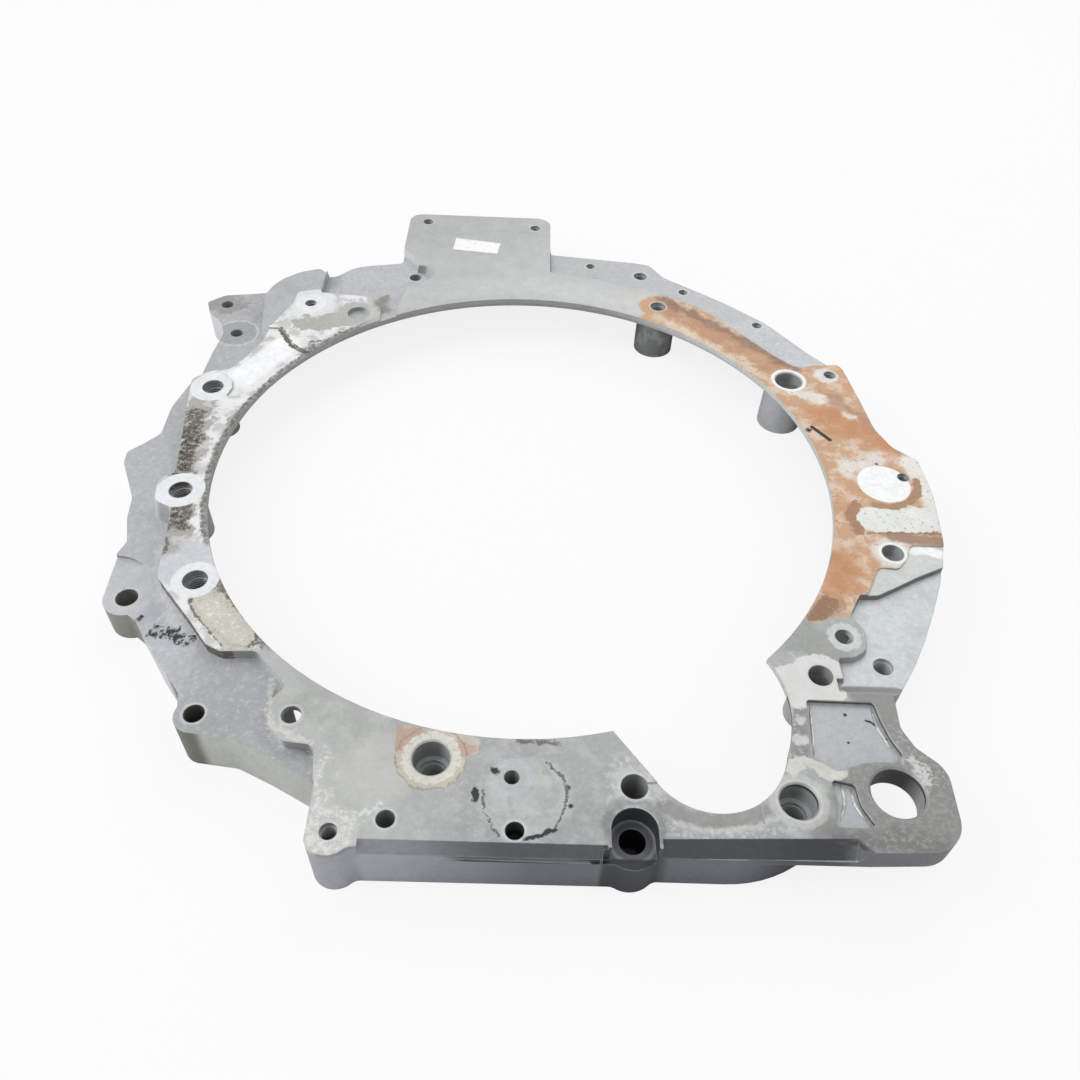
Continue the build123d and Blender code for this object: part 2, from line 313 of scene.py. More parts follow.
class Plan:
    """Positions on the casting, in millimetres, for masks drawn in its plan."""

    def __init__(self, tree: ShaderTree) -> None:
        """Add the nodes that give the place and the way that the surface faces.

        Args:
            tree: The tree that the nodes go into.
        """
        self.tree = tree
        self.line_distance = GroupTree.line_distance().tree
        here = tree.add("ShaderNodeTexCoord", {}, {}).outputs["Object"]
        self.place = tree.scaled(here, 1.0 / MM)
        parts = tree.add("ShaderNodeSeparateXYZ", {}, {0: self.place})
        self.x, self.y, self.z = (Wire(tree, socket) for socket in parts.outputs)
        true = tree.add("ShaderNodeNewGeometry", {}, {}).outputs["True Normal"]
        way = tree.add("ShaderNodeSeparateXYZ", {}, {0: true})
        self.right, self.up = Wire(tree, way.outputs["X"]), Wire(tree, way.outputs["Z"])
        self.flat = tree.vector("MULTIPLY", self.place, (1.0, 1.0, 0.0)).outputs[0]
        self.ragged = self._shaken(Grain.RAGGED, 4.0)
        self.wavy = self._shaken(Grain.PATCH, 15.0)

    def _shaken(self, grain: Grain, reach: float) -> Socket:
        """The plan position, moved about so that a mask's edge is uneven.

        Args:
            grain: Size of the pattern that moves it.
            reach: How far it moves, in millimetres.

        Returns:
            The moved position.
        """
        sockets = {"Vector": self.place, "Scale": grain.value, "Detail": 3.0, "Roughness": 0.6}
        cloud = self.tree.add("ShaderNodeTexNoise", {"noise_dimensions": "2D"}, sockets).outputs["Color"]
        centred = self.tree.vector("SUBTRACT", cloud, (0.5, 0.5, 0.5)).outputs[0]
        moved = self.tree.vector("MULTIPLY", centred, (reach, reach, 0.0)).outputs[0]
        return self.tree.vector("ADD", self.flat, moved).outputs[0]


class Edge(Enum):
    """How even the edge of a mark is."""

    CLEAN = "flat"
    RAGGED = "ragged"
    WAVY = "wavy"


@dataclass(frozen=True)
class Disc:
    """A round mark in plan, in millimetres. Its edge is soft wide, and a ring has an inner radius too."""

    x: float
    y: float
    radius: float
    soft: float = 1.0
    edge: Edge = Edge.CLEAN
    inner: float = 0.0

    def mask(self, plan: Plan) -> Wire:
        """Where the mark is, from 0 to 1."""
        place = getattr(plan, self.edge.value)
        far = Wire(plan.tree, plan.tree.vector("DISTANCE", place, (self.x, self.y, 0.0)).outputs[1])
        inside = far.ease(self.radius + self.soft / 2, self.radius - self.soft / 2)
        if self.inner > 0.0:
            return inside & far.ease(self.inner - self.soft / 2, self.inner + self.soft / 2)
        return inside

    def span(self, axis: int) -> tuple[float, float]:
        """How far the mark reaches along x (0) or y (1)."""
        middle, reach = (self.x, self.y)[axis], self.radius + self.soft / 2 + SHAKE
        return middle - reach, middle + reach


@dataclass(frozen=True)
class Path:
    """A long mark with round ends in plan, along a line of points. The radius is half of its width."""

    points: tuple[Point, ...]
    radius: float
    soft: float = 1.0
    edge: Edge = Edge.CLEAN

    def mask(self, plan: Plan) -> Wire:
        """Where the mark is, from 0 to 1."""
        far = self._distance(plan, self.points[0], self.points[1])
        for start, end in zip(self.points[1:], self.points[2:]):
            far = far & self._distance(plan, start, end)
        return far.ease(self.radius + self.soft / 2, self.radius - self.soft / 2)

    def span(self, axis: int) -> tuple[float, float]:
        """How far the mark reaches along x (0) or y (1)."""
        values, reach = [point[axis] for point in self.points], self.radius + self.soft / 2 + SHAKE
        return min(values) - reach, max(values) + reach

    def _distance(self, plan: Plan, start: Point, end: Point) -> Wire:
        """Distance to one piece of the middle line.

        Args:
            plan: Positions.
            start: First end of the piece.
            end: Second end of the piece.

        Returns:
            The distance, in millimetres.
        """
        along = Vector((end[0] - start[0], end[1] - start[1], 0.0))
        place = getattr(plan, self.edge.value)
        sockets = {"Place": place, "Start": (*start, 0.0), "Along": tuple(along)}
        sockets["Share"] = tuple(along / along.length_squared)
        made = plan.tree.add("ShaderNodeGroup", {"node_tree": plan.line_distance}, sockets)
        return Wire(plan.tree, made.outputs[0])


@dataclass(frozen=True)
class Side:
    """Everything on one side of a line in plan, which goes through a point, towards a direction."""

    through: Point
    towards: Point
    soft: float = 1.0
    edge: Edge = Edge.CLEAN

    def mask(self, plan: Plan) -> Wire:
        """Where the mark is, from 0 to 1."""
        way = Vector((*self.towards, 0.0)).normalized()
        place = getattr(plan, self.edge.value)
        reach = Wire(plan.tree, plan.tree.vector("DOT_PRODUCT", place, tuple(way)).outputs[1])
        start = self.through[0] * way.x + self.through[1] * way.y
        return reach.ease(start - self.soft / 2, start + self.soft / 2)

    def span(self, axis: int) -> tuple[float, float]:
        """How far the mark reaches along x (0) or y (1)."""
        start, way = self.through[axis], self.towards[axis]
        if self.towards[1 - axis] != 0.0 or way == 0.0:
            return -WIDE, WIDE
        return (start - self.soft - SHAKE, WIDE) if way > 0.0 else (-WIDE, start + self.soft + SHAKE)


Mark = Disc | Path | Side


class Facing(Enum):
    """Ways in which the surface can face."""

    UP = "up"
    STEEP = "steep"


class Level(Enum):
    """Height ranges on the casting, in millimetres from the machined face."""

    ALL = (-60.0, 9.0)
    LAND = (-1.05, 9.0)
    SHELF = (-1.6, 9.0)
    STEP = (-0.95, -0.3)
    SHALLOW = (-2.9, -1.1)
    LOW = (-60.0, -3.0)
    BAND = (-7.7, 9.0)
    GROOVE = (-12.2, -7.7)
    RAIL = (-9.6, 9.0)
    BODY = (-60.0, -9.6)
    POCKET = (-12.3, 9.0)
    DEEP = (-60.0, -11.5)
    UNDER = (-60.0, -8.0)


class Breakup(Enum):
    """What breaks a stain up."""

    SOLID = "nothing"
    SPECKLED = "fine specks"
    CLOUDED = "soft clouds"


@dataclass(frozen=True)
class Stain:
    """A coloured area on the casting; most are stains, some are painted light or shade.

    Attributes:
        colour: Its colour.
        marks: Shapes in plan that together make it up.
        within: Shapes that it stays inside, all at once.
        level: Heights that it stays in, or None for those of its table.
        facing: The way that the surface under it faces.
        breakup: What breaks it up.
        density: How much of the area is left where it is broken up.
        share: How strongly it covers.
    """

    colour: Colour
    marks: tuple[Mark, ...]
    within: tuple[Mark, ...] = ()
    level: Level | None = None
    facing: Facing = Facing.UP
    breakup: Breakup = Breakup.SOLID
    density: float = 1.0
    share: float = 1.0

    def inside(self, *within: Mark) -> "Stain":
        """The same stain, kept inside some shapes."""
        return replace(self, within=within)

    def on(self, level: Level) -> "Stain":
        """The same stain at heights of its own."""
        return replace(self, level=level)

    def specks(self, density: float, share: float = 1.0) -> "Stain":
        """The same stain, broken up into fine specks."""
        return replace(self, breakup=Breakup.SPECKLED, density=density, share=share)

    def clouds(self, density: float, share: float = 1.0) -> "Stain":
        """The same stain, broken up into soft clouds."""
        return replace(self, breakup=Breakup.CLOUDED, density=density, share=share)

    def faint(self, share: float) -> "Stain":
        """The same stain, but partly see-through."""
        return replace(self, share=share)


Stains = tuple[Stain, ...]


def spot(red: int, green: int, blue: int, *marks: Mark) -> Stain:
    """Make a stain from its screen colour and its shapes."""
    return Stain(tone(red, green, blue), marks)


def table(
    *stains: Stain, within: tuple[Mark, ...] = (), level: Level = Level.LAND, facing: Facing = Facing.UP
) -> Stains:
    """Give stains the limits that they share.

    Args:
        stains: The stains, in the order in which they are laid.
        within: Shapes that all of them stay inside.
        level: Heights of those that have none of their own.
        facing: The way that the surface under them faces.

    Returns:
        The finished stains.
    """
    def finished(stain: Stain) -> Stain:
        """One stain with the shared limits."""
        return replace(stain, within=within + stain.within, level=stain.level or level, facing=facing)

    return tuple(map(finished, stains))


@dataclass(frozen=True)
class Field:
    """A part of the casting, in ranges of millimetres, whose stains are worked out apart from the others."""

    x: Point = (-WIDE, WIDE)
    y: Point = (-WIDE, WIDE)
    z: Point = (-WIDE, WIDE)
    facing: Facing = Facing.UP

    def needs(self, stain: Stain) -> bool:
        """Tell whether a stain can show in this field."""
        low, high = stain.level.value
        if stain.facing is not self.facing or low >= self.z[1] or high <= self.z[0]:
            return False
        return any(map(self._meets, stain.marks)) and all(map(self._meets, stain.within))

    def _meets(self, mark: Mark) -> bool:
        """Tell whether a mark reaches into this field."""
        spans = ((mark.span(0), self.x), (mark.span(1), self.y))
        return all(low < own[1] and high > own[0] for (low, high), own in spans)


RAGGED, WAVY = Edge.RAGGED, Edge.WAVY
STEEP = Facing.STEEP
ANYWHERE = Disc(0.0, 0.0, 600.0)


def left_of(x: float, soft: float = 1.0, edge: Edge = Edge.CLEAN) -> Side:
    """Everything to the left of a line, as the photograph shows the casting."""
    return Side((x, 0), (-1, 0), soft, edge)


def right_of(x: float, soft: float = 1.0, edge: Edge = Edge.CLEAN) -> Side:
    """Everything to the right of a line."""
    return Side((x, 0), (1, 0), soft, edge)


def before(y: float, soft: float = 1.0, edge: Edge = Edge.CLEAN) -> Side:
    """Everything nearer to the camera than a line."""
    return Side((0, y), (0, -1), soft, edge)


def behind(y: float, soft: float = 1.0, edge: Edge = Edge.CLEAN) -> Side:
    """Everything farther from the camera than a line."""
    return Side((0, y), (0, 1), soft, edge)


# Cast flanges, pocket floors and the top of the left boss
SKIN_STAINS_AND_HIGHLIGHT = table(
    spot(185, 189, 193, Path(((-200, -100), (-150, -165)), 50, 20)),
    spot(170, 173, 174, Side((-160, -150), (0.5, -1.0), 60)).inside(left_of(-90, 4)),
    spot(203, 207, 208, Path(((195, -90), (185, -140)), 55, 10)),
    spot(182, 185, 187, Disc(160, -190, 48)).on(Level.SHALLOW),
    spot(196, 200, 202, Path(((-140, 205), (-90, 218)), 24, 22)),
    spot(174, 177, 178, Disc(-180, 180, 26, 26, WAVY)).faint(0.8),
    spot(172, 175, 176, Disc(-166, 208, 24, 14, WAVY)).faint(0.85),
    spot(164, 168, 170, ANYWHERE).clouds(0.36, 0.3),
    spot(212, 215, 217, ANYWHERE).specks(0.3, 0.35),
    spot(184, 187, 187, Path(((30, 250), (100, 222), (140, 196)), 26, 16, WAVY)).faint(0.9),
    spot(152, 150, 146, Disc(-222, 184, 17, 12, WAVY)).clouds(0.62, 0.7),
    spot(164, 166, 166, Disc(-207, 148, 14, 3)).faint(0.6),
    spot(214, 216, 216, Disc(-207, 148, 15.6, 1.2, RAGGED, 14.0)).faint(0.7),
    # Painted highlight: a light line along the foot of the left land's step, where its fillet catches the light
    spot(208, 211, 214, Path(((-203, -60), (-198, -90), (-173, -124)), 3, 3, RAGGED)).faint(0.6),
    spot(54, 54, 55, Path(((-189, -119), (-180, -121), (-169, -127)), 4.8, 6, WAVY),
         Path(((-208, -106), (-200.5, -109.4)), 3, 3, RAGGED)).specks(0.55),
    spot(196, 199, 202, Disc(-226, -94, 28.5)).on(Level.DEEP),
    level=Level.LOW,
)

# Machined lands: broad tones from the front to the rear, the lug and the bay
LAND_STAINS = table(
    spot(192, 195, 193, behind(10, 220)),
    spot(163, 167, 168, right_of(-60, 14, WAVY)).inside(before(-218, 8, WAVY)).faint(0.6),
    spot(189, 191, 189, Side((-40, -200), (-1, -0.2), 50)).inside(before(-120, 60)).faint(0.8),
    spot(174, 177, 174, Path(((-100, -165), (-62, -178)), 15, 16, WAVY)).faint(0.7),
    spot(199, 199, 193, Disc(-62, -200, 17, 14, WAVY)).faint(0.7),
    spot(190, 193, 191, Path(((36, 212), (86, 190)), 15, 12, WAVY)).faint(0.7),
    spot(190, 192, 188, ANYWHERE).inside(before(-120, 40)).clouds(0.42, 0.4),
    spot(150, 153, 152, ANYWHERE).specks(0.34, 0.3),
    spot(202, 204, 201, ANYWHERE).specks(0.3, 0.35),
    spot(184, 188, 187, Path(((-70, 285), (-10, 275)), 34, 20)).faint(0.8),
    spot(200, 203, 201, Disc(0, 0, 212, 14, WAVY, 190)).inside(behind(130, 30)).faint(0.7),
    spot(146, 147, 144, Disc(178, -206, 34, 12, WAVY), Path(((140, -227), (185, -229)), 8, 6, RAGGED),
         Path(((186, -190), (182, -160), (172, -152)), 9, 7, RAGGED), Path(((148, -197), (168, -195)), 6, 6, RAGGED),
         Path(((138, -160), (134, -190)), 5, 5, RAGGED)),
    spot(126, 127, 124, Path(((146, -230), (188, -231)), 5, 7, WAVY)).faint(0.8),
    spot(188, 189, 186, Disc(172, -205, 40, 30), Path(((136, -160), (132, -190)), 6, 5, WAVY)).specks(0.36, 0.7),
    spot(210, 210, 206, Disc(190, -197, 8, 10, WAVY), Disc(186, -190, 4, 5, WAVY)).specks(0.6),
    spot(106, 107, 105, Disc(170, -210, 36, 20)).specks(0.3, 0.6),
    spot(206, 206, 201, Path(((127, -195), (136, -192.6), (147, -198)), 5, 5, WAVY)).clouds(0.85),
    spot(150, 150, 147,
         Path(((67, -215), (74.5, -219.6), (89, -223), (104, -220.4), (112, -217)), 3.4, 2.5, RAGGED)).faint(0.9),
    spot(204, 205, 201, Path(((66, -229), (90, -231), (122, -226)), 4, 5, WAVY),
         Disc(56, -207, 17, 8, WAVY)).specks(0.46, 0.5),
    spot(202, 204, 201, Disc(54.9, -207, 10.5, 4, WAVY)).faint(0.6),
    spot(206, 207, 203, Path(((72, -224.5), (88, -227.8), (106, -225.5), (118, -221)), 1.3, 2.5, RAGGED)).faint(0.7),
    spot(196, 197, 193, Disc(129.5, -212, 13.6, 2, RAGGED)).faint(0.7),
    spot(214, 214, 210, Disc(137.2, -169, 2.6, 2, RAGGED), Path(((133.5, -180.2), (138, -180.2)), 2.6, 1.6, RAGGED),
         Path(((148.5, -199.5), (152.5, -197)), 2.4)).faint(0.75),
    spot(196, 197, 193, Path(((133, -161), (131, -172)), 3, 3, RAGGED)).specks(0.6, 0.7),
    spot(158, 160, 157, Path(((140, -117), (150, -119), (160, -127)), 11, 6, WAVY)),
    spot(214, 214, 211, Disc(152, -144.5, 15.2, 1, RAGGED),
         Path(((138, -149), (150, -150)), 13, 1, RAGGED)).inside(Side((163.2, -143), (-1, 0), 0.8)),
    spot(190, 190, 186, Disc(148, -147, 20)).inside(Side((163.2, -143), (-1, 0), 0.8)).specks(0.34, 0.6),
    spot(208, 210, 208, Disc(169.4, -117.6, 9, 1.5, RAGGED)).faint(0.75),
    spot(150, 151, 150, Path(((166, -149.2), (190, -149.2)), 3.6, 1)).on(Level.ALL),
    spot(206, 207, 204, Disc(-80, -232.5, 13, 3, RAGGED), Path(((-89, -196), (-86, -221)), 4, 8, WAVY)).faint(0.6),
    spot(222, 223, 219, Disc(-80, -232.5, 12, 4, RAGGED), Path(((-89, -196), (-86, -221)), 4, 8, WAVY),
         Path(((-70, -226), (-58, -219)), 4, 7, WAVY)).specks(0.5, 0.65),
    spot(208, 208, 203,
         Path(((-121.5, -150), (-119, -172), (-114, -181), (-96, -189)), 2.4, 4, RAGGED)
         ).on(Level.ALL).specks(0.66, 0.7),
    spot(148, 148, 142,
         Path(((-119, -156), (-117, -171), (-111, -183), (-95, -191)), 1.3, 2, RAGGED)).on(Level.LOW).specks(0.6),
    spot(120, 122, 122, Disc(54, -226.5, 14.5, 4, RAGGED, 10)).faint(0.6),
    spot(40, 40, 42, Disc(160.9, -163.8, 0.9), Disc(159.3, -179.4, 0.7),
         Path(((171, -167), (175, -169)), 0.7, 0.8, RAGGED), Disc(178, -177, 0.6)).on(Level.SHALLOW),
)

# Left land: chalk, brown specks, clean rings, the cream patch and a painted shadow line along a step
LEFT = (left_of(-112, 16, WAVY), behind(-137, 6))
LEFT_STAINS_AND_SHADOW = table(
    spot(202, 203, 201, ANYWHERE),
    spot(234, 236, 236, ANYWHERE).clouds(0.56, 0.85),
    spot(168, 167, 162, ANYWHERE).specks(0.3, 0.6),
    spot(158, 156, 149, Path(((-206, 52), (-201, -10)), 11, 10, WAVY), Path(((-193, -40), (-192, -72)), 9, 8, WAVY),
         Path(((-178, 46), (-184, 10)), 6, 8, WAVY)).clouds(0.66, 0.85),
    spot(104, 99, 89, Path(((-206, 44), (-201, -10)), 8, 10, WAVY), Path(((-194, -40), (-192, -52)), 7, 6, WAVY),
         Path(((-197, -46), (-196, -74)), 3.2, 4, WAVY)).specks(0.62),
    spot(60, 57, 51, Path(((-206, 24), (-202, -12)), 7, 8, WAVY),
         Path(((-196, -44), (-190, -54)), 3, 5, WAVY)).specks(0.46),
    spot(150, 150, 146, Disc(0, 0, 187.5, 2, RAGGED, 180)).faint(0.8),
    spot(96, 94, 88, Disc(0, 0, 188, 3, RAGGED, 180),
         Path(((-156, 110), (-126, 138)), 3.5, 7, WAVY)).specks(0.52, 0.85),
    spot(200, 204, 208, Disc(-177, -84, 17, 6, WAVY)).on(Level.LAND),
    spot(243, 245, 246, Path(((-187, 82), (-166, 118)), 10, 5, RAGGED)),
    spot(222, 224, 225, Disc(-156, 167, 17, 10, WAVY)).on(Level.LAND),
    spot(178, 177, 172, Path(((-156, 144), (-130, 150)), 9, 7, WAVY)).clouds(0.85),
    spot(182, 183, 179, Disc(-124, 158, 17, 14, WAVY)).on(Level.LAND).clouds(0.75),
    # Painted shadow: a dark brownish line along the step between the chalky strip and the higher land
    spot(112, 102, 88, Path(((-172, 137), (-161, 119), (-150, 111)), 1.6, 2, RAGGED)).specks(0.85),
    spot(112, 108, 98, Path(((-162.5, -107), (-141, -130)), 10, 2, RAGGED)).on(Level.LAND).specks(0.66),
    spot(203, 201, 190, Path(((-161.5, -108), (-142, -129.5)), 8.4, 1.5, RAGGED)).on(Level.LAND),
    spot(168, 163, 148, Path(((-161.5, -108), (-142, -129.5)), 8.2, 2, RAGGED)).on(Level.LAND).specks(0.45, 0.8),
    spot(228, 228, 220, Path(((-161, -110), (-143, -128)), 6, 3, RAGGED)).on(Level.LAND).specks(0.42, 0.75),
    spot(228, 231, 232, Disc(-202.5, 70.6, 14.4), Disc(-198.2, -25, 14), Disc(-172.8, -92.5, 12.5),
         Disc(-156.4, 169.3, 11)).on(Level.LAND),
    within=LEFT, level=Level.SHELF,
)

# Copper stain of the right land, from the strip at the rear to its brown end
COPPER = (Side((75, 150), (1.0, 0.3), 2), Side((155, -108), (-0.25, 1.0), 5, RAGGED))
COPPER_STAINS = table(
    spot(203, 164, 132, Side((94, 181), (0.705, -0.709), 3), Disc(94, 181, 13.5, 2, RAGGED)),
    spot(222, 206, 188, Side((90, 176), (1, 0), 20)).clouds(0.46, 0.7),
    spot(150, 122, 100, Path(((196, 92), (208, 74), (226, 48), (240, 26)), 5, 9, WAVY),
         Path(((152, -106), (168, -94)), 7, 7, WAVY)).clouds(0.62, 0.6),
    spot(196, 140, 98, Disc(177, -66, 12, 14, WAVY), Disc(175, -82, 8, 12, WAVY), Disc(192, -27, 6, 8, WAVY),
         Path(((194, 68), (226, 36)), 9, 14, WAVY), Path(((187, 56), (200, 50)), 5, 9, WAVY)).faint(0.85),
    spot(190, 146, 116, Path(((102, 178), (122, 158), (168, 114)), 8, 6, WAVY)).faint(0.8),
    spot(220, 203, 182, Path(((92, 167), (118, 143), (143, 119), (163, 98)), 3.8, 5, WAVY)).faint(0.75),
    # A darker brown line along the outer, rear edge of the strip
    spot(142, 116, 100, Path(((98, 190), (123, 169), (162, 133), (183, 110)), 4, 6, WAVY)).faint(0.85),
    spot(158, 114, 86, Path(((96, 182), (122, 156), (166, 110)), 11, 8)).specks(0.36, 0.8),
    spot(236, 196, 160, Path(((110, 166), (140, 138), (166, 113)), 5, 8)).specks(0.34, 0.8),
    spot(168, 130, 102, Path(((196.5, -19), (191.3, -28), (194, -40)), 4, 5, RAGGED)).specks(0.8),
    spot(228, 226, 221, Path(((197, 13), (207, 15), (217, 22)), 6, 8, WAVY), Path(((180, 87), (194, 80)), 5, 5, WAVY),
         Path(((205, 66), (212, 60)), 2.5, 4, WAVY), Disc(203, 105, 8, 3, RAGGED),
         Disc(209.6, -57, 12, 5, RAGGED)).faint(0.85),
    spot(230, 228, 222, Path(((240, 19), (245.5, -4), (245, -26)), 8, 5, RAGGED)),
    spot(166, 138, 118, Path(((212, -44), (222, -45.5), (237, -47), (247, -48.5)), 3.8, 3, RAGGED)),
    spot(227, 230, 226, Path(((205, -31), (238, -29.5)), 10, 1, RAGGED)),
    spot(150, 116, 100, Path(((199, -42), (246, -40.5)), 0.7, 0.8, RAGGED)).faint(0.8),
    spot(172, 138, 110,
         Path(((238.4, 3), (236.3, -7.6), (228.7, -15.7), (218.7, -20), (208, -19)), 2.5, 1.2, RAGGED)),
    spot(152, 120, 96, Path(((166, -95), (157, -106)), 5, 4, RAGGED)).specks(0.85),
    spot(176, 156, 136, ANYWHERE).specks(0.32, 0.6),
    spot(112, 88, 70, before(130, 60)).specks(0.24, 0.6),
    within=COPPER,
)

# Spots that lie outside these two lands or on top of them
LOOSE_SPOTS = table(
    # Painted shade: the shallow valley beside the upper-left land is darker and brownish
    spot(138, 132, 124, Path(((-107, 182), (-104, 166)), 4, 7, WAVY)).on(Level.ALL).faint(0.8),
    spot(206, 210, 207, Disc(222, -75, 60)).on(Level.STEP),
    spot(240, 242, 241, Path(((222, -54), (229, -53), (237, -56.5)), 3.4, 2)).on(Level.STEP),
    spot(240, 241, 240, Disc(209.6, -57, 8.2, 0.8, inner=6.4), Disc(176.3, 98.7, 11.8, 1, inner=9)),
    spot(243, 245, 244, Disc(217.7, -0.3, 15.9)),
    spot(52, 52, 50, Path(((183.3, 50.7), (192.4, 38.7)), 1.4, 0.8), Disc(180.5, 47.5, 2, 2, RAGGED),
         Disc(217.3, 17.4, 0.9)),
)

# Front land: the cream patch round a dowel hole, the pale disc and its dark dashes
PATCH_END = right_of(-56, 1)
FRONT_STAINS = table(
    spot(198, 193, 180, Disc(-38.5, -195, 16.5, 1, RAGGED),
         Path(((-52, -184), (-22, -188)), 5.5, 1, RAGGED)).inside(PATCH_END),
    spot(190, 166, 152, Disc(-50, -186, 9, 8, WAVY), Disc(-23, -190, 6, 6, WAVY)).inside(PATCH_END).specks(0.7),
    spot(218, 216, 206, Disc(-38.5, -195, 14, 2, RAGGED)).specks(0.7, 0.9),
    spot(150, 140, 124, Disc(-38.5, -195, 17, 1, RAGGED, 15.6)).inside(PATCH_END).specks(0.6, 0.7),
    spot(192, 194, 192, Disc(5, -213, 21, 4, RAGGED)).faint(0.7),
    spot(160, 163, 163, Disc(2, -209, 17, 3, WAVY, 14.5), Disc(6, -216, 9, 3, WAVY, 7)).faint(0.4),
    spot(188, 193, 197, Disc(-1, -204, 9.6, 1.5, inner=6.5)).faint(0.8),
    spot(60, 62, 62, Path(((-17.4, -211), (-17.1, -215.6)), 1.5, 1, RAGGED), Disc(25.7, -217.5, 1.1),
         Disc(24.5, -208.5, 1.2), Path(((6, -233.4), (12.1, -232.1), (18.2, -229)), 1.2, 0.9, RAGGED),
         Disc(-9, -200.8, 2, 1.5, RAGGED)),
    spot(112, 114, 114, Path(((15, -196), (22, -203), (24.5, -211), (22, -222), (18.7, -227.6)), 0.8, 0.8, RAGGED),
         Path(((-14, -210), (-13.3, -221), (-9, -228), (-6, -233)), 0.7, 0.8, RAGGED),
         Path(((2, -185), (20, -185.4)), 1.6, 2, RAGGED)).specks(0.6),
)

# Walls at the front: darker towards the right, with painted shade on the sloped band along the top and in the groove
# below it
FRONT = (before(-223, 4),)
LUG_HEAD = right_of(150, 8)
FRONT_WALL_STAINS_AND_SHADE = table(
    spot(180, 183, 189, right_of(-72, 6)),
    spot(150, 154, 160, right_of(-42, 50)),
    spot(117, 121, 128, right_of(-8, 50)),
    # Painted shade: the sloped band along the top and the groove below it are darker
    spot(153, 156, 161, right_of(-75, 8)).on(Level.BAND),
    spot(96, 99, 102, right_of(-30, 60)).on(Level.BAND),
    spot(60, 62, 66, right_of(-24, 10)).on(Level.GROOVE),
    spot(67, 69, 72, right_of(40, 3)),
    spot(114, 118, 125, right_of(68, 8)).on(Level.BODY),
    spot(85, 89, 95, right_of(112, 26)).on(Level.BODY),
    spot(84, 86, 90, right_of(66, 3)).on(Level.RAIL),
    spot(76, 78, 82, right_of(118, 20)).on(Level.RAIL),
    spot(118, 120, 122, LUG_HEAD),
    within=FRONT, level=Level.ALL, facing=STEEP,
)

# Other sides of the casting: stains, painted shade in the pockets, holes and the lug's eye, and painted light deep in
# two holes
SIDE_STAINS_LIGHT_AND_SHADE = table(
    # Painted shade: the walls of the front boss's pocket are darker, and near black deep in its hole
    spot(70, 76, 79, Disc(54, -226, 14, 1)).on(Level.POCKET),
    spot(26, 26, 27, Disc(54, -228, 6.6, 0.4)).on(Level.DEEP),
    spot(150, 149, 142, Disc(-216, -104, 16, 8)),
    spot(122, 121, 114, Disc(-160, -176, 30, 10)),
    spot(196, 198, 193, Path(((-142, -184), (-95, -208)), 9, 6)),
    spot(168, 172, 177, Disc(-80, -232.5, 14, 5)),
    # Painted shade with brown dirt: the upper part of the left land's step walls is darker
    spot(110, 104, 94, Path(((-206, 30), (-206, -10)), 14, 4),
         Path(((-200, -60), (-190, -100), (-165, -125), (-150, -138)), 8, 4)).on(Level.BAND).specks(0.7),
    spot(150, 152, 151, Disc(94, 181, 16)).on(Level.UNDER),
    spot(112, 114, 116, Disc(94, 181, 16)).on(Level.UNDER).clouds(0.5, 0.7),
    # Painted light: the walls deep in two holes are brighter, standing in for light bounced into them
    spot(189, 191, 192, Disc(176.3, 98.7, 17), Disc(152.4, -142.5, 14)).on(Level.UNDER),
    # Painted shade: the far side of the lug's eye is darker
    spot(80, 80, 79, Disc(176.3, -206.3, 15)).inside(Side((176, -204), (-0.25, 1), 14)).on(Level.ALL),
    # Painted shade: the walls of the lug's pockets are darker
    spot(88, 89, 89, Disc(160, -190, 44)).on(Level.SHALLOW),
    # Painted shadow: a dark line on the far wall of the right step
    spot(104, 106, 105, Path(((185, -86), (250, -58)), 9, 3)).on(Level.BAND).faint(0.8),
    level=Level.LOW, facing=STEEP,
)

# Seat of the front boss, with painted shade in front of its hole
SEAT_STAINS_AND_SHADE = table(
    spot(102, 106, 109, Disc(54, -230, 20)).inside(Side((54, -215), (0, -1), 2)),
    spot(150, 153, 154, Disc(54, -228, 11, 1, inner=9.2)).faint(0.7),
    # Painted shade: the seat in front of the hole is as dark as the wall, standing in for a sloped face in shade
    spot(64, 66, 69, Disc(54, -232, 20)).inside(Side((54, -236.2), (0, -1), 1.4)),
    level=Level.DEEP,
)

# Parts of the casting, from the cast skin to the lands and the sides
LAND_FOOT = -1.7
LEFT_END, RIGHT_START, LUG_END = -92.0, 72.0, -114.0
SKIN = Field(z=(-WIDE, LAND_FOOT))
LEFT_LAND = Field(x=(-WIDE, LEFT_END), z=(LAND_FOOT, WIDE))
MIDDLE_LAND = Field(x=(LEFT_END, RIGHT_START), z=(LAND_FOOT, WIDE))
RIGHT_LAND = Field(x=(RIGHT_START, WIDE), y=(LUG_END, WIDE), z=(LAND_FOOT, WIDE))
LUG_LAND = Field(x=(RIGHT_START, WIDE), y=(-WIDE, LUG_END), z=(LAND_FOOT, WIDE))
SIDES = Field(facing=STEEP)

# Light worn edges round the holes: x, y, radius
WORN_HOLES = (
    (152.4, -142.5, 6.3), (54.9, -207, 6.3), (94, 181, 5.5), (205.5, 106, 4), (3, 286, 4), (-83, 290, 4),
    (-106.8, -174.2, 4.8), (-56, -226, 4.3), (1, -230, 4.3), (46.5, 239.5, 3.4), (84.5, 228, 5), (115.5, 208, 3.4),
    (165.5, 168, 3.4), (-86.5, 217, 4.5), (129.5, -212, 9.6), (-212.5, -94, 6), (-155, -171, 5.1),
    (187.4, -133.1, 5.2), (-38.5, -195, 9.6),
)


